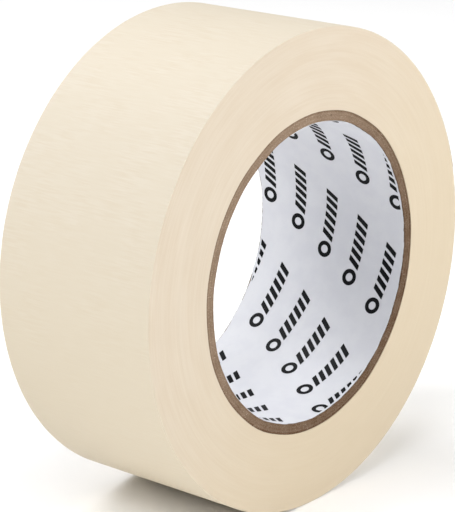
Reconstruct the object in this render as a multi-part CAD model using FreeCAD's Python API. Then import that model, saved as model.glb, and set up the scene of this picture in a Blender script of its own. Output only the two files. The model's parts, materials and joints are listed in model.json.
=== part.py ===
"""A roll of masking tape: one long strip of crepe paper tape wound on a spiral paperboard core.

The roll stands on its rim. The origin is the middle of the core's bore, +Y runs along the
roll's axis and +Z is up. Angles round the axis start at +X and grow towards +Z, so they run
anticlockwise as seen from the front (-Y). All lengths are in millimetres and angles in degrees.
"""

import FreeCAD
import Part
import math
import os

# ---- driving dimensions ----

# The core, from its bore outwards.
bore_diameter = 76.2  # the standard three-inch core
liner_thickness = 0.15  # white printed paper
board_thickness = 0.50  # one ply of kraft board
board_count = 5
glue_line = 0.02  # between any two layers of the core, and between the core and the tape
core_inset = 0.10  # how far the core's cut ends lie inside the tape's
strip_width = 100.0  # the width of the strips that the core is wound from
board_seam_gap = 0.40  # between the edges of one board strip, measured round the core
liner_seam_gap = 0.25
liner_seam_angle = 240.0  # where the liner's seam meets the front end
seam_stagger = 67.0  # from one layer's seam to the next layer's

# The tape.
tape_width = 48.0
tape_thickness = 0.13  # crepe paper with its adhesive
tape_length = 50000.0
wrap_clearance = 0.01  # between the outer turn and the turns under it

# The free end of the tape, which lies on the outer turn and peels off it.
peel_angle = 35.0  # where the free end leaves the outer turn
free_length = 22.0
end_clearance = 0.06  # between the free end and what it lies against
tip_lift = 0.05  # how far the tip stands off the roll
peel_axis_lift = 0.15  # the peel axis over the outer turn's face

# ---- sizes that follow ----

bore_radius = bore_diameter / 2
board_step = board_thickness + glue_line
first_board_radius = bore_radius + liner_thickness + glue_line
tape_start_radius = first_board_radius + board_count * board_step
tape_area = tape_length * tape_thickness
roll_radius = math.sqrt(tape_start_radius**2 + tape_area / math.pi)
core_length = tape_width - 2 * core_inset

# ---- fineness of the curves that are worked out ----

spiral_points = 73
free_end_points = 9
seam_overrun = 2.0  # how far a seam's cutter passes the core's ends
cutter_margin = 0.10  # how far a seam's cutter passes its layer's faces

AXIS = FreeCAD.Vector(0, 1, 0)
ORIGIN = FreeCAD.Vector(0, 0, 0)


def at(radius, angle, y=0.0):
    """The point at a radius and an angle round the roll's axis."""
    turn = math.radians(angle)
    return FreeCAD.Vector(radius * math.cos(turn), y, radius * math.sin(turn))


def smooth_edge(points):
    """One smooth curve through these points."""
    curve = Part.BSplineCurve()
    curve.interpolate(points)
    return curve.toShape()


def straight_edge(start, end):
    """A straight edge from start to end."""
    return Part.LineSegment(start, end).toShape()


def across_the_tape(wire):
    """The solid that a closed outline on the front plane makes over the tape's width."""
    return Part.Face(wire).extrude(AXIS * tape_width)


# ---- the core ----


def tube(inner_radius, thickness, length):
    """A plain tube round the roll's axis, centred on the origin."""
    start = AXIS * (-length / 2)
    outside = Part.makeCylinder(inner_radius + thickness, length, start, AXIS)
    inside = Part.makeCylinder(inner_radius, length, start, AXIS)
    return outside.cut(inside)


def seam_cutter(inner_radius, thickness, gap, front_angle):
    """A helical bar as wide as a strip's seam, through one layer of the core.

    A strip of a given width covers the core once per turn at one helix angle only, which
    sets the pitch of its seam.
    """
    middle_radius = inner_radius + thickness / 2
    circumference = 2 * math.pi * middle_radius
    helix_angle = math.asin(strip_width / circumference)
    pitch = circumference * math.tan(helix_angle)
    height = core_length + 2 * seam_overrun
    helix = Part.makeHelix(pitch, height, middle_radius)
    half_depth = thickness / 2 + cutter_margin
    corners = [
        FreeCAD.Vector(middle_radius + radial * half_depth, side * gap / 2, 0)
        for radial, side in ((-1, -1), (1, -1), (1, 1), (-1, 1), (-1, -1))
    ]
    bar = Part.Wire(helix.Edges).makePipeShell([Part.makePolygon(corners)], True, True)
    # The helix is made about +Z from z = 0. Laid along +Y, its start moves to the front end.
    bar.rotate(ORIGIN, FreeCAD.Vector(1, 0, 0), -90)
    bar.translate(AXIS * (-height / 2))
    overrun_turn = 360.0 * seam_overrun / pitch
    bar.rotate(ORIGIN, AXIS, -(front_angle + overrun_turn))
    return bar


def wound_layer(inner_radius, thickness, gap, front_angle):
    """One layer of the core: a strip wound into a tube, with a helical seam where it meets itself."""
    layer = tube(inner_radius, thickness, core_length)
    return layer.cut(seam_cutter(inner_radius, thickness, gap, front_angle))


def core_liner():
    """The printed white paper on the inside of the core."""
    return wound_layer(bore_radius, liner_thickness, liner_seam_gap, liner_seam_angle)


def core_ply(number):
    """One kraft board ply, numbered from the inside outwards, from 1."""
    inner_radius = first_board_radius + (number - 1) * board_step
    front_angle = liner_seam_angle + number * seam_stagger
    return wound_layer(inner_radius, board_thickness, board_seam_gap, front_angle)


# ---- the tape ----


def spiral_radius(turns_in, angle):
    """The outer radius of the tape's strip, so many turns in from the outside, at an angle.

    The strip's outer turn starts at the peel angle with the roll's full radius, and each turn
    takes it one thickness of tape further in.
    """
    share = (angle - peel_angle) / 360.0
    return roll_radius - tape_thickness * (turns_in + share)


def spiral_edge(turns_in, inwards=0.0):
    """One turn of the strip's spiral on the front plane, from the peel angle all the way round."""
    step = 360.0 / (spiral_points - 1)
    angles = [peel_angle + step * i for i in range(spiral_points)]
    front = -tape_width / 2
    return smooth_edge([at(spiral_radius(turns_in, a) - inwards, a, front) for a in angles])


def wound_tape():
    """All the turns under the outer one, as one solid. Its face has a step one tape thick."""
    spiral = spiral_edge(1)
    step = straight_edge(spiral.Vertexes[-1].Point, spiral.Vertexes[0].Point)
    pack = across_the_tape(Part.Wire([spiral, step]))
    start = AXIS * (-tape_width / 2)
    hole = Part.makeCylinder(tape_start_radius, tape_width, start, AXIS)
    return pack.cut(hole)


def outer_turn():
    """The last whole turn of the tape, from where the free end leaves it."""
    outside = spiral_edge(0)
    inside = spiral_edge(0, tape_thickness - wrap_clearance)
    first, last = (
        straight_edge(outside.Vertexes[i].Point, inside.Vertexes[i].Point) for i in (0, -1)
    )
    return across_the_tape(Part.Wire([outside, last, inside, first]))


def free_end_edge(inner):
    """The free end's inner or outer edge on the front plane, from the peel line to the tip."""
    base = roll_radius - tape_thickness + end_clearance
    if not inner:
        base += tape_thickness
    points = []
    for i in range(free_end_points):
        share = i / (free_end_points - 1)
        distance = end_clearance + share * free_length
        angle = peel_angle - math.degrees(distance / roll_radius)
        points.append(at(base + tip_lift * share**2, angle, -tape_width / 2))
    return smooth_edge(points)


def free_end():
    """The end of the tape, which rests on the roll and stands a little off it at its tip."""
    outside, inside = free_end_edge(False), free_end_edge(True)
    root, tip = (
        straight_edge(outside.Vertexes[i].Point, inside.Vertexes[i].Point) for i in (0, -1)
    )
    return across_the_tape(Part.Wire([outside, tip, inside, root]))


# ---- the assembly ----


def build():
    """Every piece of the roll by its name."""
    pieces = {"core_liner": core_liner()}
    for number in range(1, board_count + 1):
        pieces[f"core_ply_{number}"] = core_ply(number)
    pieces["wound_tape"] = wound_tape()
    pieces["outer_turn"] = outer_turn()
    pieces["free_end"] = free_end()
    return pieces


def main():
    """Writes each piece to parts/ and prints the sizes that the record states."""
    os.makedirs("parts", exist_ok=True)
    for name, shape in build().items():
        if not shape.isValid() or len(shape.Solids) != 1:
            raise ValueError(f"{name} is not one valid solid")
        shape.exportStep(f"parts/{name}.step")
        print(f"{name}: {shape.Volume:.1f} mm3")
    peel = at(roll_radius + peel_axis_lift, peel_angle - math.degrees(end_clearance / roll_radius))
    turns = (roll_radius - tape_start_radius) / tape_thickness
    print(f"roll diameter {2 * roll_radius:.3f}, core outside {2 * tape_start_radius:.3f}")
    print(f"turns {turns:.1f}, peel axis through x {peel.x:.4f}, z {peel.z:.4f}")


main()
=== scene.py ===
"""The looks of a roll of masking tape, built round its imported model.

Every strip of paper and board is modelled flat, as it leaves its machine, and then wound round
the roll's axis. Lengths are in metres and angles in radians. The origin is the middle of the
bore, +Y runs along the roll's axis and +Z is up; angles round the axis start at +X and grow
towards +Z.
"""

import json
import logging
import math
from contextlib import contextmanager
from dataclasses import dataclass, replace
from enum import Enum
from itertools import product
from typing import Callable, Iterable, Iterator

import bmesh
import bpy
import numpy as np
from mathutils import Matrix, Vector

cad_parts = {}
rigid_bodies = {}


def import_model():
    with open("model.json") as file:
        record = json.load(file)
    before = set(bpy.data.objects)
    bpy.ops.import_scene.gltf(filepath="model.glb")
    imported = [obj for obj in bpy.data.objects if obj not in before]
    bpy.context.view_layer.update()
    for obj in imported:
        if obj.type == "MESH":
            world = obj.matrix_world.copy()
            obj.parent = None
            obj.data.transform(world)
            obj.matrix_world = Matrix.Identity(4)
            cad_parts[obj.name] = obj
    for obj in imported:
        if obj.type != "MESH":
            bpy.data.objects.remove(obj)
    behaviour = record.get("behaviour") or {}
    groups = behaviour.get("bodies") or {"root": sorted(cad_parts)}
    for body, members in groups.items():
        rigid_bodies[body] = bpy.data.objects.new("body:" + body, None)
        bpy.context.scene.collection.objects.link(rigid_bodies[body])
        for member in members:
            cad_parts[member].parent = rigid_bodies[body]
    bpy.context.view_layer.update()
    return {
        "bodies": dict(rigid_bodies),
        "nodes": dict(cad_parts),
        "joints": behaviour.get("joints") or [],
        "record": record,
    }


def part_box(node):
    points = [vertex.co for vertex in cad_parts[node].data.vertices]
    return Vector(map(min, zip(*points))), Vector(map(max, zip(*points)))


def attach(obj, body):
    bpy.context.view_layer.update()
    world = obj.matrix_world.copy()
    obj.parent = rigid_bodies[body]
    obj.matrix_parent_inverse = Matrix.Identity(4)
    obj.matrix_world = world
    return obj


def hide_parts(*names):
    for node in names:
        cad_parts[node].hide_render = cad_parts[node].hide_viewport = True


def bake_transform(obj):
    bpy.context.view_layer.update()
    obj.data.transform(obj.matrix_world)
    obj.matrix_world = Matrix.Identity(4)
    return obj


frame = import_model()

Piece = bpy.types.Object
Colour = tuple[float, float, float, float]

MM = 0.001
FULL_TURN = 2 * math.pi
ROLL_BODY = "roll"
PEEL_JOINT = "free_end_peel"
EDGE_MARGIN = 0.1 * MM  # how near a cut edge a vertex counts as on it
TOUCHING = 1e-7  # how near each other two vertices count as one

log = logging.getLogger("masking_tape")


class Element(Enum):
    """What edit mode selects."""

    VERTEX = "VERT"
    EDGE = "EDGE"
    FACE = "FACE"


class Slot(Enum):
    """The record's material slots."""

    TAPE = "crepe_tape"
    BOARD = "kraft_board"
    LINER = "liner_paper"


# ---- the tools ----


class Bench:
    """Blender's modelling tools, used on one piece at a time."""

    @staticmethod
    def clear() -> None:
        """Leaves edit mode and selects nothing."""
        if bpy.context.mode != "OBJECT":
            bpy.ops.object.mode_set(mode="OBJECT")
        bpy.ops.object.select_all(action="DESELECT")

    @staticmethod
    def hold(piece: Piece) -> None:
        """Makes a piece the only selected one."""
        Bench.clear()
        piece.select_set(True)
        bpy.context.view_layer.objects.active = piece

    @staticmethod
    @contextmanager
    def editing(piece: Piece, element: Element) -> Iterator[bmesh.types.BMesh]:
        """Opens a piece in edit mode to select one kind of element, and closes it afterwards."""
        Bench.hold(piece)
        bpy.ops.object.mode_set(mode="EDIT")
        bpy.ops.mesh.select_mode(type=element.value)
        bpy.ops.mesh.select_all(action="DESELECT")
        yield bmesh.from_edit_mesh(piece.data)
        bpy.ops.object.mode_set(mode="OBJECT")

    @staticmethod
    def pick(mesh: bmesh.types.BMesh, parts: Iterable, rule: Callable[..., bool]) -> None:
        """Selects the parts of a mesh in edit mode for which a rule is true, and no others."""
        bpy.ops.mesh.select_all(action="DESELECT")
        for part in parts:
            if rule(part):
                part.select_set(True)
        mesh.select_flush_mode()

    @staticmethod
    def place(piece: Piece) -> None:
        """Puts a piece's place, turn and size into its mesh."""
        Bench.hold(piece)
        bpy.ops.object.transform_apply(location=True, rotation=True, scale=True)

    @staticmethod
    def add(name: str, primitive: Callable, size: tuple, centre: tuple, **settings: int) -> Piece:
        """Adds one of Blender's primitives.

        Args:
            name: The piece's name.
            primitive: The operator that adds it.
            size: Its lengths along x, y and z, or 1 where it is flat.
            centre: Where its middle is.
            **settings: How it is divided.

        Returns:
            The piece.
        """
        Bench.clear()
        primitive(size=1.0, location=centre, **settings)
        piece = bpy.context.object
        piece.name = name
        piece.scale = size
        Bench.place(piece)
        return piece

    @staticmethod
    def sheet(
        name: str, start: float, length: float, width: float, columns: int, rows: int
    ) -> Piece:
        """A flat sheet in columns and rows of squares, from x = start and centred across."""
        return Bench.add(
            name,
            bpy.ops.mesh.primitive_grid_add,
            (length, width, 1),
            (start + length / 2, 0, 0),
            x_subdivisions=columns,
            y_subdivisions=rows,
        )

    @staticmethod
    def join(pieces: list[Piece], name: str) -> Piece:
        """Makes one piece of several, under one name."""
        Bench.clear()
        for piece in pieces:
            piece.select_set(True)
        bpy.context.view_layer.objects.active = pieces[0]
        bpy.ops.object.join()
        pieces[0].name = name
        return pieces[0]

    @staticmethod
    def modify(piece: Piece, kind: str, **settings: object) -> None:
        """Adds a modifier with these settings to a piece and applies it."""
        Bench.hold(piece)
        modifier = piece.modifiers.new(kind.lower(), kind)
        for key, value in settings.items():
            setattr(modifier, key, value)
        bpy.ops.object.modifier_apply(modifier=modifier.name)

    @staticmethod
    def points(piece: Piece) -> np.ndarray:
        """Every vertex of a piece, one row each."""
        flat = np.empty(len(piece.data.vertices) * 3)
        piece.data.vertices.foreach_get("co", flat)
        return flat.reshape(-1, 3)

    @staticmethod
    def set_points(piece: Piece, points: np.ndarray) -> None:
        """Moves every vertex of a piece."""
        piece.data.vertices.foreach_set("co", points.ravel())
        piece.data.update()

    @staticmethod
    def group(piece: Piece, name: str, weights: np.ndarray) -> str:
        """Marks the vertices that a modifier acts on, by a weight for each, and gives the name."""
        group = piece.vertex_groups.new(name=name)
        for index in np.flatnonzero(weights > 0):
            group.add([int(index)], float(weights[index]), "REPLACE")
        return group.name

    @staticmethod
    def merge(piece: Piece) -> None:
        """Joins the vertices of a piece that lie on each other."""
        with Bench.editing(piece, Element.VERTEX):
            bpy.ops.mesh.select_all(action="SELECT")
            bpy.ops.mesh.remove_doubles(threshold=TOUCHING)

    @staticmethod
    def cut(piece: Piece, point: tuple, outwards: tuple, clear_outer: bool = False) -> None:
        """Cuts a piece along a plane, and takes off what is outside it where asked to."""
        with Bench.editing(piece, Element.FACE):
            bpy.ops.mesh.select_all(action="SELECT")
            bpy.ops.mesh.bisect(plane_co=point, plane_no=outwards, clear_outer=clear_outer)

    @staticmethod
    def smooth(piece: Piece, degrees: float) -> None:
        """Shades a piece smooth, apart from edges sharper than an angle."""
        Bench.hold(piece)
        bpy.ops.object.shade_smooth_by_angle(angle=math.radians(degrees))


@dataclass(frozen=True)
class Relief:
    """Small unevenness, pressed into a piece with a cloudy texture.

    Attributes:
        size: How large one bump is along x, y and z.
        depth: From the lowest to the highest point.
        direction: Which way the vertices move: X, Y or Z.
        middle: The share of the depth that goes inwards.
        shift: Where the pattern starts, so that two reliefs differ.
        detail: How many times finer bumps are added.
    """

    size: tuple[float, float, float]
    depth: float
    direction: str = "Z"
    middle: float = 0.5
    shift: float = 0.0
    detail: int = 1

    def press(self, piece: Piece, group: str) -> None:
        """Presses the relief into one vertex group of a piece."""
        Bench.clear()
        bpy.ops.object.empty_add(location=(self.shift, self.shift, self.shift))
        ruler = bpy.context.object
        ruler.scale = self.size
        bpy.context.view_layer.update()
        clouds = bpy.data.textures.new("relief_clouds", "CLOUDS")
        clouds.noise_scale = 1.0
        clouds.noise_depth = self.detail
        Bench.modify(
            piece,
            "DISPLACE",
            texture=clouds,
            texture_coords="OBJECT",
            texture_coords_object=ruler,
            direction=self.direction,
            strength=self.depth,
            mid_level=self.middle,
            vertex_group=group,
        )
        bpy.data.objects.remove(ruler)
        bpy.data.textures.remove(clouds)


@dataclass(frozen=True)
class OutOfRound:
    """How far the core and the turns on it are from round, as handling leaves them.

    Attributes:
        off_centre: How far the core's middle is from the roll's, along x and z.
        depth: The most that the radius grows or shrinks.
        lobes: How many times each wave goes up and down in one turn.
        radius: Up to which radius the waves are whole.
        fade: Over what depth of tape they die out.
    """

    off_centre: tuple[float, float] = (0.15 * MM, -0.36 * MM)
    depth: float = 0.16 * MM
    lobes: tuple[int, ...] = (3, 7, 11, 17)
    radius: float = 41 * MM
    fade: float = 8 * MM

    def shift(self, angle: np.ndarray, radius: np.ndarray) -> np.ndarray:
        """How far each point moves outwards, by its angle and its radius."""
        aside = self.off_centre[0] * np.cos(angle) + self.off_centre[1] * np.sin(angle)
        waves = sum(np.cos(count * angle + count) for count in self.lobes) / len(self.lobes)
        share = np.clip(1 - (radius - self.radius) / self.fade, 0, 1)
        return (aside + self.depth * waves) * share


@dataclass(frozen=True)
class Winding:
    """How a flat strip goes round the roll's axis.

    Flat, x runs along the strip, y along the roll's axis, and z is the height over the
    surface that the strip is wound on.

    Attributes:
        radius: The radius of z = 0 at x = 0.
        start: The angle of x = 0 in the middle of the roll.
        draw_in: How far the radius falls for each radian.
        lean: How far the angle grows for each metre of y, for a strip wound as a helix.
        least_radius: The radius of what the innermost turn lies on.
        unevenness: How far from round the turns near the core are.
    """

    radius: float
    start: float
    draw_in: float = 0.0
    lean: float = 0.0
    least_radius: float = 0.0
    unevenness: OutOfRound = OutOfRound()

    def wind(self, piece: Piece) -> None:
        """Winds a flat piece. It mirrors the mesh, so the faces are turned round."""
        x, y, z = Bench.points(piece).T
        turn = x / self.radius
        angle = self.start + turn + self.lean * y
        radius = np.maximum(self.radius - self.draw_in * turn + z, self.least_radius)
        radius += self.unevenness.shift(angle, radius)
        Bench.set_points(piece, np.stack((radius * np.cos(angle), y, radius * np.sin(angle)), axis=1))
        piece.data.flip_normals()


# ---- shader maths ----


class Shade:
    """A socket of a node tree. Sums of these add the Math nodes that work them out."""

    def __init__(self, mixer: "Mixer", socket: bpy.types.NodeSocket) -> None:
        """Wraps a socket of a mixer's node tree."""
        self.mixer = mixer
        self.socket = socket

    def math(self, operation: str, *inputs: "Shade | float") -> "Shade":
        """The output of a Math node with these inputs."""
        return self.mixer.node("ShaderNodeMath", {"operation": operation}, dict(enumerate(inputs)))

    def __add__(self, other: "Shade | float") -> "Shade":
        """This and another."""
        return self.math("ADD", self, other)

    __radd__ = __add__

    def __sub__(self, other: "Shade | float") -> "Shade":
        """This less another."""
        return self.math("SUBTRACT", self, other)

    def __rsub__(self, other: float) -> "Shade":
        """A number less this."""
        return self.math("SUBTRACT", other, self)

    def __mul__(self, other: "Shade | float") -> "Shade":
        """This times another."""
        return self.math("MULTIPLY", self, other)

    def __truediv__(self, other: "Shade | float") -> "Shade":
        """This divided by another."""
        return self.math("DIVIDE", self, other)

    def root(self) -> "Shade":
        """The square root of this."""
        return self.math("SQRT", self)

    def sine(self) -> "Shade":
        """The sine of this."""
        return self.math("SINE", self)

    def angle(self, along: "Shade") -> "Shade":
        """The angle whose tangent is this over another."""
        return self.math("ARCTAN2", self, along)

    def within(self, low: float, high: float) -> "Shade":
        """How far this lies from low to high, kept from 0 to 1 and eased at both ends."""
        return self.mixer.node(
            "ShaderNodeMapRange",
            {"interpolation_type": "SMOOTHSTEP"},
            {"Value": self, "From Min": low, "From Max": high},
        )


def paint(red: int, green: int, blue: int) -> Colour:
    """A colour in linear light, with its alpha, from a colour chart's numbers up to 255."""
    shares = (channel / 255 for channel in (red, green, blue))
    linear = (s / 12.92 if s <= 0.04045 else ((s + 0.055) / 1.055) ** 2.4 for s in shares)
    return (*linear, 1.0)


WHITE = paint(254, 254, 254)
BLACK = paint(0, 0, 0)


class Mixer:
    """Makes one material, or the studio's air, out of nodes."""

    def __init__(self, owner: bpy.types.Material | bpy.types.World) -> None:
        """Starts with only the shader that the owner comes with."""
        owner.use_nodes = True
        self.owner = owner
        self.tree = owner.node_tree
        self.shader = next(n for n in self.tree.nodes if n.type in ("BSDF_PRINCIPLED", "BACKGROUND"))

    def node(
        self, kind: str, settings: dict | None = None, inputs: dict | None = None, output: int | str = 0
    ) -> Shade:
        """Adds a node.

        Args:
            kind: The node's type.
            settings: What is set on the node itself, before its sockets.
            inputs: A number, a colour or another node's output for each socket.
            output: Which of its outputs is wanted.

        Returns:
            That output.
        """
        node = self.tree.nodes.new(kind)
        for key, value in (settings or {}).items():
            setattr(node, key, value)
        for key, value in (inputs or {}).items():
            self.feed(node.inputs[key], value)
        return Shade(self, node.outputs[output])

    def feed(self, socket: bpy.types.NodeSocket, value: "Shade | float | Colour") -> None:
        """Links an output to a socket, or sets the socket's own value."""
        if isinstance(value, Shade):
            self.tree.links.new(value.socket, socket)
        else:
            socket.default_value = value

    def place(self) -> tuple[Shade, Shade, Shade]:
        """Where a point of the object is, along each axis."""
        where = self.node("ShaderNodeTexCoord", output="Object")
        split = self.node("ShaderNodeSeparateXYZ", inputs={"Vector": where}).socket.node
        return tuple(Shade(self, split.outputs[axis]) for axis in "XYZ")

    def noise(
        self, x: Shade, y: Shade, z: Shade, size: float, detail: float = 2.0, roughness: float = 0.5
    ) -> Shade:
        """Cloudy noise from 0 to 1 at a place, with clouds of this size and finer ones in them."""
        place = {"X": x / size, "Y": y / size, "Z": z / size}
        where = self.node("ShaderNodeCombineXYZ", inputs=place)
        return self.node(
            "ShaderNodeTexNoise",
            inputs={"Vector": where, "Scale": 1.0, "Detail": detail, "Roughness": roughness},
        )

    def blend(self, share: "Shade | float", first: "Shade | Colour", second: "Shade | Colour") -> Shade:
        """A colour between two: the first where the share is 0, the second where it is 1."""
        # Sockets 6 and 7 are the colours A and B, and output 2 is the colour between them.
        colours = {"Factor": share, 6: first, 7: second}
        return self.node("ShaderNodeMix", {"data_type": "RGBA"}, colours, output=2)

    def bump(self, height: Shade, distance: float, below: Shade | None = None) -> Shade:
        """The normal of fine unevenness, as high as the distance, on top of another's below."""
        inputs = {"Height": height, "Distance": distance, "Strength": 1.0}
        if below is not None:
            inputs["Normal"] = below
        return self.node("ShaderNodeBump", inputs=inputs)

    def done(self, **sockets: "Shade | float | Colour") -> bpy.types.Material | bpy.types.World:
        """Feeds the shader's sockets, named with _ for a space, and gives the shader's owner."""
        for name, value in sockets.items():
            self.feed(self.shader.inputs[name.replace("_", " ")], value)
        return self.owner


# ---- the finishes ----


@dataclass(frozen=True)
class CrepePaper:
    """The tape's creped paper, with its wrinkles across the tape.

    Attributes:
        colour: Its general colour.
        crest_highlight: The colour of the wrinkles' crests, with a painted highlight.
        valley_shade: The colour between them, with painted shade in the valleys.
        painted_warm_light: The colour that the paper leans to lower down: painted warm light from below.
        glue: The colour of the sticky face.
        wrinkle: From one fine wrinkle to the next.
        wrinkle_length: How long a fine wrinkle runs across the tape.
        wrinkle_height: How high a fine wrinkle stands.
    """

    colour: Colour = paint(212, 202, 184)
    crest_highlight: Colour = paint(215, 206, 190)
    valley_shade: Colour = paint(209, 197, 177)
    painted_warm_light: Colour = paint(213, 200, 175)
    glue: Colour = paint(205, 190, 160)
    wrinkle: float = 0.45 * MM
    wrinkle_length: float = 6 * MM
    wrinkle_height: float = 0.014 * MM

    def material(self) -> bpy.types.Material:
        """Mixes the material."""
        mixer = Mixer(bpy.data.materials.new("crepe_paper"))
        x, y, z = mixer.place()
        across = y * (self.wrinkle / self.wrinkle_length)
        fine = mixer.noise(x, across, z, size=self.wrinkle, detail=3.0)
        clouds = mixer.noise(x, y, z, size=9 * MM)
        grain = mixer.noise(x, y, z, size=0.12 * MM, detail=1.0)
        # Painted shade and highlight: the wrinkles' valleys are darker and their crests lighter.
        tone = mixer.blend(fine.within(0.3, 0.7), self.valley_shade, self.crest_highlight)
        tone = mixer.blend(clouds.within(0.35, 0.65) * 0.6 + 0.2, self.colour, tone)
        # Painted warm light: the paper turns warmer towards the bottom.
        low = 1 - z.within(-30 * MM, 45 * MM)
        tone = mixer.blend(low * 0.6, tone, self.painted_warm_light)
        sticky = mixer.node("ShaderNodeAttribute", {"attribute_name": "glue"}, output="Fac")
        tone = mixer.blend(sticky, tone, self.glue)
        normal = mixer.bump(fine, self.wrinkle_height)
        normal = mixer.bump(grain, 0.004 * MM, normal)
        return mixer.done(
            Base_Color=tone,
            Roughness=0.62 + (grain - 0.5) * 0.3 - sticky * 0.35,
            Normal=normal,
            Specular_IOR_Level=0.35,
        )


@dataclass(frozen=True)
class TapeEdges:
    """The side faces of the roll: the cut edges of every turn.

    Attributes:
        thickness: Of one turn.
        roll_radius: Of the whole roll.
        start: The angle at which the outer turn starts.
        colour: The general colour.
        darker_band: The colour of the darker bands of turns, which fall at random.
        painted_warm_light: The colour that the face leans to on its lower right: painted warm light from
            there.
        spread: How far along a turn its tone stays much the same.
    """

    thickness: float
    roll_radius: float
    start: float
    colour: Colour = paint(208, 195, 176)
    darker_band: Colour = paint(204, 189, 168)
    painted_warm_light: Colour = paint(207, 191, 163)
    spread: float = 14 * MM

    def material(self) -> bpy.types.Material:
        """Mixes the material."""
        mixer = Mixer(bpy.data.materials.new("tape_edges"))
        x, y, z = mixer.place()
        radius = (x * x + z * z).root()
        angle = z.angle(x)
        turns_in = (self.roll_radius - radius) / self.thickness - (angle - self.start) / FULL_TURN
        grooves = (turns_in * FULL_TURN).sine() * 0.5 + 0.5
        fine_bands, broad_bands = (
            mixer.noise(radius, x * (width / self.spread), z * (width / self.spread), width, detail)
            for width, detail in ((0.4 * MM, 3.0), (3.5 * MM, 1.0))
        )
        grain = mixer.noise(x, y, z, size=0.25 * MM)
        share = fine_bands * 0.5 + broad_bands * 0.35 + grain * 0.15
        tone = mixer.blend(share.within(0.35, 0.65), self.darker_band, self.colour)
        # Painted warm light: the face turns warmer towards its lower right.
        warm_light_share = (x - z).within(-60 * MM, 60 * MM)
        tone = mixer.blend(warm_light_share * 0.7, tone, self.painted_warm_light)
        normal = mixer.bump(grooves, 0.004 * MM)
        normal = mixer.bump(fine_bands * 0.7 + grain * 0.3, 0.02 * MM, normal)
        return mixer.done(
            Base_Color=tone,
            Roughness=0.66 + (grain - 0.5) * 0.2,
            Normal=normal,
            Specular_IOR_Level=0.3,
        )


@dataclass(frozen=True)
class KraftBoard:
    """The grey-brown board of the core, with its fibres.

    Attributes:
        tone: How light this ply is, from 0 to 1.
        light: The colour of the lightest board, which the painted light on its upper left leans to.
        dark: The colour of the darkest board.
        fleck: The colour of the pale fibres.
        upper_left_light: How much lighter the board is on its upper left: painted light.
    """

    tone: float = 0.5
    light: Colour = paint(161, 140, 119)
    dark: Colour = paint(80, 50, 22)
    fleck: Colour = paint(205, 192, 174)
    upper_left_light: float = 0.36

    def material(self) -> bpy.types.Material:
        """Mixes the material."""
        mixer = Mixer(bpy.data.materials.new("kraft_board"))
        x, y, z = mixer.place()
        fibres = mixer.noise(x, y, z, size=0.35 * MM, detail=4.0, roughness=0.65)
        clouds = mixer.noise(x, y, z, size=4 * MM)
        specks = mixer.noise(x, y, z, size=0.22 * MM, detail=1.0)
        # Painted light: the board turns lighter and greyer towards its upper left.
        upper_left_lit = (z - x).within(-55 * MM, 55 * MM)
        share = fibres.within(0.3, 0.7) * 0.3 + clouds.within(0.3, 0.7) * 0.15
        share = share + upper_left_lit * self.upper_left_light + (self.tone * 0.3 - 0.13)
        tone = mixer.blend(share, self.dark, self.light)
        tone = mixer.blend(specks.within(0.66, 0.76) * 0.7, tone, self.fleck)
        return mixer.done(
            Base_Color=tone,
            Roughness=0.85 + (fibres - 0.5) * 0.2,
            Normal=mixer.bump(fibres, 0.05 * MM),
            Specular_IOR_Level=0.2,
        )


@dataclass(frozen=True)
class LinerPaper:
    """The white paper that lines the core.

    Attributes:
        colour: Its general colour.
        shade: The colour of its duller patches.
    """

    colour: Colour = paint(225, 226, 230)
    shade: Colour = paint(218, 219, 225)

    def material(self) -> bpy.types.Material:
        """Mixes the material."""
        mixer = Mixer(bpy.data.materials.new("liner_paper"))
        x, y, z = mixer.place()
        clouds = mixer.noise(x, y, z, size=5 * MM, detail=3.0)
        fibres = mixer.noise(x, y / 3, z, size=0.3 * MM, detail=3.0)
        tone = mixer.blend(clouds.within(0.35, 0.65) * 0.6 + fibres * 0.4, self.shade, self.colour)
        return mixer.done(
            Base_Color=tone,
            Roughness=0.5 + (fibres - 0.5) * 0.25,
            Normal=mixer.bump(fibres, 0.01 * MM),
            Specular_IOR_Level=0.4,
        )


@dataclass(frozen=True)
class PrintInk:
    """The dark ink of the marks on the liner.

    Attributes:
        colour: Of the full ink.
        thin: Where it is a little thin.
    """

    colour: Colour = paint(3, 3, 6)
    thin: Colour = paint(16, 16, 24)

    def material(self) -> bpy.types.Material:
        """Mixes the material."""
        mixer = Mixer(bpy.data.materials.new("print_ink"))
        x, y, z = mixer.place()
        wear = mixer.noise(x, y, z, size=0.25 * MM)
        return mixer.done(
            Base_Color=mixer.blend(wear.within(0.5, 0.8), self.colour, self.thin),
            Roughness=0.55 + (wear - 0.5) * 0.3,
            Normal=mixer.bump(wear, 0.004 * MM),
            Specular_IOR_Level=0.15,
        )


# ---- sizes that the pieces share ----


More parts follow.
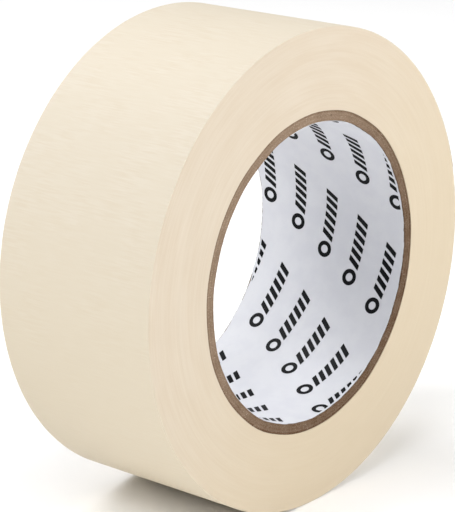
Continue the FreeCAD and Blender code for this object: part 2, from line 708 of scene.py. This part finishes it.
@dataclass(frozen=True)
class RollSizes:
    """The roll's sizes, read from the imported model.

    Attributes:
        roll_radius: Of the outer turn where the free end leaves it.
        half_width: Half the tape's width.
        bore_radius: Inside the liner.
        core_half_length: Half the core's length.
        core_radius: Outside the core's last ply.
        peel_angle: Where the free end leaves the outer turn.
        peel_point: The middle of the line where it leaves.
        tape_thickness: Of the tape with its adhesive.
        wrap_clearance: Between the outer turn and the turns under it.
        glue_line: Between any two layers of the core.
    """

    roll_radius: float
    half_width: float
    bore_radius: float
    core_half_length: float
    core_radius: float
    peel_angle: float
    peel_point: Vector
    tape_thickness: float = 0.13 * MM
    wrap_clearance: float = 0.01 * MM
    glue_line: float = 0.02 * MM

    @classmethod
    def from_frame(cls, packed: dict) -> "RollSizes":
        peel_axis_lift = 0.15 * MM
        joints = packed["record"]["behaviour"]["joints"]
        axis_point = Vector(next(j for j in joints if j["name"] == PEEL_JOINT)["pos_m"])
        bore = next(m for m in packed["record"]["mounts"] if m["name"] == "core_bore")
        roll_radius = axis_point.length - peel_axis_lift
        return cls(
            roll_radius=roll_radius,
            half_width=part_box("outer_turn")[1][1],
            bore_radius=bore["dims"]["r_mm"] * MM,
            core_half_length=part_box("core_ply_1")[1][1],
            core_radius=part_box("core_ply_5")[1][2],
            peel_angle=math.atan2(axis_point.z, axis_point.x),
            peel_point=axis_point.normalized() * roll_radius,
        )

    @property
    def outer_winding(self) -> Winding:
        """How the outer turn and the free end lie."""
        return Winding(
            radius=self.roll_radius - self.tape_thickness + self.wrap_clearance,
            start=self.peel_angle,
            draw_in=self.tape_thickness / FULL_TURN,
        )


# ---- the sub-assemblies ----


@dataclass
class WoundTurns:
    """All the turns of tape under the outer one, whose edges make the roll's side faces.

    Attributes:
        sizes: The roll's sizes.
        columns: How many faces one turn has.
        unevenness: How far one turn's edge stands off the next one's.
        sway: How far broad bands of turns stand off the others.
        band: How many turns such a band has.
        seed: Of the unevenness.
    """

    sizes: RollSizes
    columns: int = 192
    unevenness: float = 0.012 * MM
    sway: float = 0.02 * MM
    band: int = 11
    seed: int = 7

    def build(self) -> Piece:
        """Makes the turns.

        Returns:
            The piece.
        """
        sizes = self.sizes
        inside = sizes.core_radius + sizes.glue_line
        winding = replace(sizes.outer_winding, least_radius=inside)
        turns = math.ceil((winding.radius - inside) / sizes.tape_thickness)
        length = FULL_TURN * winding.radius
        depth = turns * sizes.tape_thickness
        piece = Bench.add(
            "wound_turns",
            bpy.ops.mesh.primitive_cube_add,
            (length, 2 * sizes.half_width, depth),
            (length / 2, 0, -depth / 2),
        )
        with Bench.editing(piece, Element.EDGE) as mesh:
            Bench.pick(mesh, mesh.edges, lambda e: self.runs_along(e, 0))
            bpy.ops.mesh.subdivide(number_cuts=self.columns - 1)
            Bench.pick(mesh, mesh.edges, lambda e: self.runs_along(e, 2))
            bpy.ops.mesh.subdivide(number_cuts=turns - 1)
        with Bench.editing(piece, Element.FACE) as mesh:
            Bench.pick(mesh, mesh.faces, lambda f: abs(f.normal.x) > 0.9)
            bpy.ops.mesh.delete(type="ONLY_FACE")
        self.let_edges_stand_out(piece, length, turns)
        winding.wind(piece)
        self.close_step(piece)
        Bench.smooth(piece, 30)
        return piece

    @staticmethod
    def runs_along(edge: bmesh.types.BMEdge, axis: int) -> bool:
        """Whether an edge runs along one axis."""
        run = edge.verts[1].co - edge.verts[0].co
        return abs(run[axis]) > 0.9 * run.length

    def let_edges_stand_out(self, piece: Piece, length: float, turns: int) -> None:
        """Moves each turn's edges a little sideways, evenly on into the next turn.

        Args:
            piece: The flat block.
            length: Of one turn.
            turns: How many turns the block has.
        """
        rng = np.random.default_rng(self.seed)
        knots = np.arange(turns + 2)
        bands = np.interp(knots, knots[:: self.band], rng.normal(size=len(knots[:: self.band])))
        offsets = self.unevenness * rng.normal(size=len(knots)) + self.sway * bands
        # The outermost edges stay level with the outer turn's.
        offsets[:2] = 0
        points = Bench.points(piece)
        turns_in = points[:, 0] / length - points[:, 2] / self.sizes.tape_thickness
        points[:, 1] += np.interp(turns_in, knots, offsets)
        Bench.set_points(piece, points)

    @staticmethod
    def close_step(piece: Piece) -> None:
        """Joins each turn's end to the next one's start and closes the step left outside."""
        Bench.merge(piece)
        with Bench.editing(piece, Element.EDGE) as mesh:
            Bench.pick(mesh, mesh.edges, lambda e: e.is_boundary)
            bpy.ops.mesh.edge_face_add()
        with Bench.editing(piece, Element.FACE):
            bpy.ops.mesh.select_all(action="SELECT")
            bpy.ops.mesh.normals_make_consistent(inside=False)


@dataclass
class OuterStrip:
    """The outer turn of the tape and its free end, which peels off.

    Attributes:
        sizes: The roll's sizes.
        cell: The length of one face along the strip.
        rows: How many faces the strip has across it.
        tail_start: How far past the peel line the free end's piece starts on the roll.
        free_length: From the peel line to the tip.
        clearance: Between the free end and what it lies on.
        settle: Over what length the clearance grows from nothing.
        tip_lift: How far the tip stands off.
        bend: Over what length the free end bends as it peels.
        slitting: The unevenness of the strip's slit edges.
        crepe: The wrinkles that a hand feels.
        waviness: The slow rise and fall of the face.
        tear: The unevenness of the torn tip.
    """

    sizes: RollSizes
    cell: float = 0.3 * MM
    rows: int = 26
    tail_start: float = 1.5 * MM
    free_length: float = 22 * MM
    clearance: float = 0.06 * MM
    settle: float = 2 * MM
    tip_lift: float = 0.05 * MM
    bend: float = 3 * MM
    slitting: Relief = Relief(
        size=(3 * MM, 1.0, 1.0), depth=0.06 * MM, direction="Y", shift=11.0, detail=3
    )
    crepe: Relief = Relief(size=(0.9 * MM, 9 * MM, 1.0), depth=0.024 * MM, middle=0.0)
    waviness: Relief = Relief(size=(14 * MM, 20 * MM, 1.0), depth=0.04 * MM, middle=0.0, shift=3.0)
    tear: Relief = Relief(size=(5 * MM, 1.1 * MM, 1.0), depth=0.9 * MM, direction="X", detail=2)

    def strip(self, name: str, start: float, end: float) -> Piece:
        """A flat length of creped tape.

        Args:
            name: The piece's name.
            start: Where it starts, from the peel line.
            end: Where it ends.

        Returns:
            The flat strip, with its wrinkles on its outer face only.
        """
        columns = round((end - start) / self.cell)
        piece = Bench.sheet(name, start, end - start, 2 * self.sizes.half_width, columns, self.rows)
        thickness = self.sizes.tape_thickness - self.sizes.wrap_clearance
        Bench.modify(piece, "SOLIDIFY", thickness=thickness, offset=1.0, use_even_offset=False)
        points = Bench.points(piece)
        slit = np.abs(points[:, 1]) > self.sizes.half_width - EDGE_MARGIN
        self.slitting.press(piece, Bench.group(piece, "slit", slit * 1.0))
        outside = Bench.group(piece, "outside", (points[:, 2] > thickness / 2) * 1.0)
        self.crepe.press(piece, outside)
        self.waviness.press(piece, outside)
        return piece

    def build_turn(self) -> Piece:
        """The outer turn, up to where its free end's piece begins."""
        winding = self.sizes.outer_winding
        piece = self.strip("outer_turn_strip", self.tail_start, FULL_TURN * winding.radius)
        winding.wind(piece)
        Bench.smooth(piece, 40)
        return piece

    def build_free_end(self) -> Piece:
        """The free end, lifting off the roll towards its torn tip.

        Returns:
            The piece.
        """
        piece = self.strip("free_end_strip", -self.free_length, self.tail_start)
        points = Bench.points(piece)
        tip = Bench.group(piece, "tip", (points[:, 0] < -self.free_length + self.cell / 2) * 1.0)
        self.tear.press(piece, tip)
        points = Bench.points(piece)
        past = np.clip(-points[:, 0], 0, None)
        share = past / self.free_length
        points[:, 2] += self.clearance * np.clip(past / self.settle, 0, 1) + self.tip_lift * share**2
        Bench.set_points(piece, points)
        self.mark_sticky_face(piece)
        self.sizes.outer_winding.wind(piece)
        Bench.smooth(piece, 40)
        return piece

    @staticmethod
    def mark_sticky_face(piece: Piece) -> None:
        """Marks the faces that look at the roll, for the finish to show their adhesive."""
        glue = piece.data.attributes.new("glue", "FLOAT", "FACE")
        glue.data.foreach_set("value", [float(face.normal.z < -0.5) for face in piece.data.polygons])

    def bend_line(self) -> tuple[Vector, Vector]:
        """Where the free end starts and stops bending as it peels."""
        start = self.sizes.peel_point
        along = Vector((start.z, 0, -start.x)).normalized()
        return start, start + along * self.bend


@dataclass
class CoreLayer:
    """One layer of the core: a strip wound into a tube, with a helical seam.

    Attributes:
        name: The piece's name.
        inner_radius: Of the layer.
        thickness: Of its paper or board.
        half_length: Half the core's length.
        seam_gap: Between the strip's edges, measured round the core.
        seam_angle: Where the seam meets the front end.
        strip_width: Of the strip that it is wound from.
        columns: How many faces it has round it.
        rows: How many faces it has along it.
    """

    name: str
    inner_radius: float
    thickness: float
    half_length: float
    seam_gap: float
    seam_angle: float
    strip_width: float = 100 * MM
    columns: int = 300
    rows: int = 60

    @property
    def winding(self) -> Winding:
        """How the strip lies round the axis, with its seam's helix."""
        circumference = FULL_TURN * (self.inner_radius + self.thickness / 2)
        pitch = circumference * math.tan(math.asin(self.strip_width / circumference))
        lean = -FULL_TURN / pitch
        return Winding(
            radius=self.inner_radius,
            start=self.seam_angle + lean * self.half_length,
            lean=lean,
        )

    def flat_strip(self) -> Piece:
        """The layer unrolled, as a thin sheet."""
        length = FULL_TURN * self.inner_radius - self.seam_gap
        return Bench.sheet(
            self.name, self.seam_gap / 2, length, 2 * self.half_length, self.columns, self.rows
        )

    def thicken(self, piece: Piece) -> None:
        """Gives the sheet its thickness, outwards."""
        Bench.modify(piece, "SOLIDIFY", thickness=self.thickness, offset=1.0)

    def at_ends(self, piece: Piece, reach: float) -> np.ndarray:
        """How near each vertex is to the core's cut ends: 1 on them, 0 from the reach on."""
        inwards = self.half_length - np.abs(Bench.points(piece)[:, 1])
        return np.clip(1 - inwards / reach, 0, 1)


@dataclass
class BoardPly(CoreLayer):
    """One ply of board, with rough sawn ends.

    Attributes:
        end_cuts: How finely the sawn ends are divided.
        end_slope: How much further in a ply's end is at its outside, for each metre of thickness.
        sawing: The roughness of the sawn ends.
        sway: Their slower rise and fall.
    """

    end_cuts: int = 2
    end_slope: float = 0.16
    sawing: Relief = Relief(size=(0.5 * MM, 1.0, 0.25 * MM), depth=0.14 * MM, direction="Y", detail=2)
    sway: Relief = Relief(size=(6 * MM, 1.0, 6 * MM), depth=0.1 * MM, direction="Y", shift=5.0)

    def build(self) -> Piece:
        """Makes the ply.

        Returns:
            The piece.
        """
        piece = self.flat_strip()
        self.thicken(piece)
        with Bench.editing(piece, Element.FACE) as mesh:
            Bench.pick(mesh, mesh.faces, lambda f: abs(f.normal.y) > 0.9)
            bpy.ops.mesh.subdivide(number_cuts=self.end_cuts)
        on_ends = self.at_ends(piece, EDGE_MARGIN) > 0.5
        points = Bench.points(piece)
        points[on_ends, 1] -= np.sign(points[on_ends, 1]) * points[on_ends, 2] * self.end_slope
        Bench.set_points(piece, points)
        ends = Bench.group(piece, "ends", on_ends * 1.0)
        self.sawing.press(piece, ends)
        self.sway.press(piece, ends)
        self.winding.wind(piece)
        Bench.smooth(piece, 30)
        return piece


@dataclass
class Liner(CoreLayer):
    """The white printed paper on the inside of the core, frayed where it was cut.

    Attributes:
        frayed_band: How far from the cut ends the paper stands off the board.
        curl: How the paper stands off near its ends.
        tatter: How far its cut edges stand past the board's.
        fray: The unevenness of its cut edges.
        scores: Where the frayed band is divided, as shares of it.
    """

    frayed_band: float = 1.2 * MM
    curl: Relief = Relief(size=(2.2 * MM, 1.0, 1.0), depth=-0.3 * MM, middle=0.25, shift=7.0)
    tatter: Relief = Relief(size=(7 * MM, 1.0, 1.0), depth=0.8 * MM, direction="Y", shift=4.0)
    fray: Relief = Relief(size=(0.8 * MM, 1.0, 1.0), depth=0.35 * MM, direction="Y", shift=9.0, detail=2)
    scores: tuple[float, ...] = (0.25, 0.6)

    def build(self) -> Piece:
        """Makes the liner.

        Returns:
            The piece.
        """
        piece = self.flat_strip()
        for share, side in product(self.scores, (-1, 1)):
            y = side * (self.half_length - share * self.frayed_band)
            Bench.cut(piece, (0, y, 0), (0, 1, 0))
        band = Bench.group(piece, "band", self.at_ends(piece, self.frayed_band) ** 2)
        self.curl.press(piece, band)
        ends = Bench.group(piece, "ends", (self.at_ends(piece, EDGE_MARGIN) > 0.5) * 1.0)
        self.tatter.press(piece, ends)
        self.fray.press(piece, ends)
        self.thicken(piece)
        self.winding.wind(piece)
        Bench.smooth(piece, 30)
        return piece


@dataclass
class LinerPrint:
    """The marks printed on the liner: a small ring and a row of slanted bars, over and over.

    The liner's seam cuts through them, as the paper is printed before it is slit and wound.

    Attributes:
        radius: Of the liner's printed face.
        half_length: Half the core's length.
        seam: How the liner's strip is wound, with its seam at x = 0.
        along: From one mark to the next in a row: round the core, and along it.
        between: From one row to the next.
        first: Where one mark's ring is.
        tilt: How far the marks lean from the way round the core.
        ring_radius: Of the ring.
        ring_width: Of its line.
        bar_height: Of the bars.
        bar_width: Of each bar.
        bar_gap: Between the ring and the middle of the first bar.
        bar_step: From one bar to the next.
        bar_count: In one mark.
        slant: How far a bar's top stands past its foot.
        ink_thickness: Of the ink.
        height: How far it stands off the liner's face.
        bare_end: Between the ink and the core's ends.
        bare_seam: Between the ink and the seam.
        reach: How many rows and marks in a row are tried, each way.
    """

    radius: float
    half_length: float
    seam: Winding
    along: tuple[float, float] = (29.1 * MM, -4.8 * MM)
    between: tuple[float, float] = (5.8 * MM, 9.5 * MM)
    first: tuple[float, float] = (-48.2 * MM, -12.5 * MM)
    tilt: float = math.radians(-9.4)
    ring_radius: float = 2.2 * MM
    ring_width: float = 1.1 * MM
    bar_height: float = 3.6 * MM
    bar_width: float = 1.45 * MM
    bar_gap: float = 1.9 * MM
    bar_step: float = 2.3 * MM
    bar_count: int = 6
    slant: float = 1.9 * MM
    ink_thickness: float = 0.012 * MM
    height: float = 0.04 * MM
    bare_end: float = 0.8 * MM
    bare_seam: float = 0.3 * MM
    reach: int = 14

    def ring(self) -> Piece:
        """The mark's ring, flat."""
        Bench.clear()
        bpy.ops.mesh.primitive_circle_add(vertices=28, radius=self.ring_radius, fill_type="NGON")
        piece = bpy.context.object
        with Bench.editing(piece, Element.FACE):
            bpy.ops.mesh.select_all(action="SELECT")
            bpy.ops.mesh.inset(thickness=self.ring_width)
            bpy.ops.mesh.delete(type="FACE")
        return piece

    def bar(self, number: int) -> Piece:
        """One slanted bar of the mark, flat, numbered from 0."""
        middle = self.ring_radius + self.bar_gap + number * self.bar_step
        start = middle - self.bar_width / 2
        piece = Bench.sheet("liner_bar", start, self.bar_width, self.bar_height, columns=2, rows=5)
        points = Bench.points(piece)
        points[:, 0] += points[:, 1] / self.bar_height * self.slant
        Bench.set_points(piece, points)
        return piece

    def mark(self) -> Piece:
        """One whole mark, flat, with its ring at the origin."""
        bars = [self.bar(number) for number in range(self.bar_count)]
        mark = Bench.join([self.ring(), *bars], "liner_mark")
        mark.rotation_euler.z = self.tilt
        Bench.place(mark)
        return mark

    def seam_at(self, y: float) -> float:
        """Where the seam is on the unrolled liner, at a place along the core."""
        return self.radius * (self.seam.start + self.seam.lean * y)

    def places(self) -> list[tuple[float, float]]:
        """Where each mark's ring is on the unrolled liner, with room for those that get cut."""
        steps = range(-self.reach, self.reach + 1)
        room = self.bar_count * self.bar_step + 3 * self.ring_radius
        around = FULL_TURN * self.radius + 2 * room
        found = []
        for i, j in product(steps, steps):
            x = self.first[0] + i * self.along[0] + j * self.between[0]
            y = self.first[1] + i * self.along[1] + j * self.between[1]
            if 0 < self.seam_at(y) + room - x < around and abs(y) < self.half_length + room:
                found.append((x, y))
        return found

    def build(self) -> Piece:
        """Prints the liner.

        Returns:
            The piece.
        """
        mark = self.mark()
        copies = []
        for x, y in self.places():
            copy = mark.copy()
            copy.data = mark.data.copy()
            bpy.context.collection.objects.link(copy)
            copy.location = (x, y, 0)
            copies.append(copy)
        bpy.data.objects.remove(mark)
        piece = Bench.join(copies, "liner_print")
        Bench.place(piece)
        self.trim(piece)
        Bench.modify(piece, "SOLIDIFY", thickness=self.ink_thickness, offset=0.0)
        Winding(radius=self.radius - self.height, start=0.0).wind(piece)
        Bench.smooth(piece, 30)
        return piece

    def trim(self, piece: Piece) -> None:
        """Cuts off what runs past the core's ends or the liner's seam."""
        slope = self.radius * self.seam.lean
        end = self.half_length - self.bare_end
        last = self.seam_at(0) - self.bare_seam
        first = last - FULL_TURN * self.radius + 2 * self.bare_seam
        cuts = (
            ((0, end, 0), (0, 1, 0)),
            ((0, -end, 0), (0, -1, 0)),
            ((last, 0, 0), (1, -slope, 0)),
            ((first, 0, 0), (-1, slope, 0)),
        )
        for point, outwards in cuts:
            Bench.cut(piece, point, outwards, clear_outer=True)


# ---- the studio ----


@dataclass(frozen=True)
class Softbox:
    """A soft square light that looks at the roll.

    Attributes:
        azimuth: Its place round the roll in degrees, as the camera's.
        elevation: Its height in degrees.
        size: Of its side.
        power: In watts.
        away: How far it is from the roll.
    """

    azimuth: float
    elevation: float
    size: float
    power: float
    away: float = 1.6

    def add(self) -> None:
        """Adds the light."""
        turn = (math.pi / 2 - math.radians(self.elevation), 0, math.radians(self.azimuth))
        bpy.ops.object.light_add(type="AREA", rotation=turn)
        light = bpy.context.object
        light.data.size = self.size
        light.data.energy = self.power
        bpy.context.view_layer.update()
        light.location = light.matrix_world @ Vector((0, 0, self.away))


@dataclass(frozen=True)
class Studio:
    """The floor, the light and the camera.

    Attributes:
        floor_height: Where the floor is.
        azimuth: Of the camera round the roll, from the front towards +X.
        elevation: Of the camera over the middle of the roll.
        distance: From the middle of the roll to the camera.
        aim_right: How far the camera's line passes the middle of the roll on its right.
        aim_up: How far it passes over it.
        lens: The camera's focal length in millimetres.
        floor_size: Of its side.
        glow_reach: How far out the floor's glow starts, and where it is full.
        glow_strength: How strong the full glow is.
        air_light: The light from all around.
        softboxes: The lights.
    """

    floor_height: float
    azimuth: float = math.radians(-49.87)
    elevation: float = math.radians(16.95)
    distance: float = 572.5 * MM
    aim_right: float = -3.0 * MM
    aim_up: float = -0.4 * MM
    lens: float = 158.8
    floor_size: float = 12.0
    glow_reach: tuple[float, float] = (0.7, 1.3)
    glow_strength: float = 0.9
    air_light: Colour = (0.1, 0.1, 0.1, 1.0)
    softboxes: tuple[Softbox, ...] = (
        Softbox(azimuth=25, elevation=28, size=0.7, power=15.4),
        Softbox(azimuth=48, elevation=42, size=0.7, power=5.5),
        Softbox(azimuth=-70, elevation=60, size=0.9, power=8.7),
        Softbox(azimuth=-115, elevation=40, size=0.9, power=12.8),
        Softbox(azimuth=180, elevation=50, size=0.8, power=10.6),
    )

    def camera(self) -> None:
        """Adds the camera."""
        turn = (math.pi / 2 - self.elevation, 0, self.azimuth)
        bpy.ops.object.camera_add(rotation=turn)
        camera = bpy.context.object
        camera.data.lens = self.lens
        bpy.context.view_layer.update()
        camera.location = camera.matrix_world @ Vector((self.aim_right, self.aim_up, self.distance))
        bpy.context.scene.camera = camera

    def floor(self) -> None:
        """Adds the plain pale floor, which glows where the lights don't reach it."""
        Bench.clear()
        bpy.ops.mesh.primitive_plane_add(size=self.floor_size, location=(0, 0, self.floor_height))
        floor = bpy.context.object
        floor.name = "studio_floor"
        mixer = Mixer(bpy.data.materials.new("studio_floor"))
        x, y, _ = mixer.place()
        distance = (x * x + y * y).root()
        glow = mixer.blend(distance.within(*self.glow_reach), BLACK, WHITE)
        paper = mixer.done(
            Base_Color=WHITE,
            Roughness=0.9,
            Emission_Color=glow,
            Emission_Strength=self.glow_strength,
        )
        floor.data.materials.append(paper)

    def air(self) -> None:
        """Fills the studio with a weak white light that looks bright where nothing is."""
        mixer = Mixer(bpy.data.worlds.new("studio_air"))
        looked_at = mixer.node("ShaderNodeLightPath", output="Is Camera Ray")
        bpy.context.scene.world = mixer.done(Color=mixer.blend(looked_at, self.air_light, WHITE))

    def build(self) -> None:
        """Sets the studio up."""
        self.floor()
        self.air()
        for softbox in self.softboxes:
            softbox.add()
        self.camera()
        bpy.context.scene.view_settings.view_transform = "Standard"


# ---- the whole roll ----


def show(piece: Piece, material: bpy.types.Material, slot: Slot, *nodes: str) -> None:
    """Finishes a piece, hides the CAD nodes that it replaces and logs its faces.

    Args:
        piece: The piece.
        material: Its finish.
        slot: Not used.
        *nodes: The CAD nodes that it replaces.
    """
    piece.data.materials.clear()
    piece.data.materials.append(material)
    if nodes:
        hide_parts(*nodes)
    log.info("%s: %d faces", piece.name, len(piece.data.polygons))


def build_tape(sizes: RollSizes) -> None:
    """Builds the tape: its wound turns, its outer turn and its free end."""
    turns = WoundTurns(sizes).build()
    edges = TapeEdges(sizes.tape_thickness, sizes.roll_radius, sizes.peel_angle)
    show(turns, edges.material(), Slot.TAPE, "wound_tape")
    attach(turns, ROLL_BODY)
    strip = OuterStrip(sizes)
    crepe = CrepePaper().material()
    outer_turn = strip.build_turn()
    show(outer_turn, crepe, Slot.TAPE, "outer_turn")
    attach(outer_turn, ROLL_BODY)
    free_end = strip.build_free_end()
    show(free_end, crepe, Slot.TAPE, "free_end")
    start, end = strip.bend_line()
    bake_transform(free_end)


def build_core(sizes: RollSizes) -> None:
    """Builds the core: its liner, the marks on it and its plies of board."""
    liner_inset = 0.3 * MM
    seam_stagger = math.radians(67)
    board_thickness = 0.5 * MM
    board_seam_gap = 0.4 * MM
    # The last, outermost ply is the darkest: partly darker board, partly painted shade in the gap
    # between the core and the tape.
    ply_tones_and_gap_shade = (0.45, 0.7, 0.5, 0.75, 0.1)
    liner = Liner(
        name="liner_sheet",
        inner_radius=sizes.bore_radius,
        thickness=0.15 * MM,
        half_length=sizes.core_half_length - liner_inset,
        seam_gap=0.25 * MM,
        seam_angle=math.radians(240),
    )
    paper = liner.build()
    show(paper, LinerPaper().material(), Slot.LINER, "core_liner")
    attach(paper, ROLL_BODY)
    marks = LinerPrint(sizes.bore_radius, sizes.core_half_length, liner.winding).build()
    show(marks, PrintInk().material(), Slot.LINER)
    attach(marks, ROLL_BODY)
    radius = sizes.bore_radius + liner.thickness + sizes.glue_line
    for number, tone in enumerate(ply_tones_and_gap_shade, start=1):
        ply = BoardPly(
            name=f"board_ply_{number}",
            inner_radius=radius,
            thickness=board_thickness,
            half_length=sizes.core_half_length,
            seam_gap=board_seam_gap,
            seam_angle=liner.seam_angle + number * seam_stagger,
        ).build()
        show(ply, KraftBoard(tone).material(), Slot.BOARD, f"core_ply_{number}")
        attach(ply, ROLL_BODY)
        radius += board_thickness + sizes.glue_line


def main() -> None:
    """Builds the roll and its studio."""
    logging.basicConfig(level=logging.INFO, format="%(name)s %(message)s")
    sizes = RollSizes.from_frame(frame)
    build_tape(sizes)
    build_core(sizes)
    Studio(floor_height=-sizes.roll_radius).build()


if __name__ == "__main__":
    main()
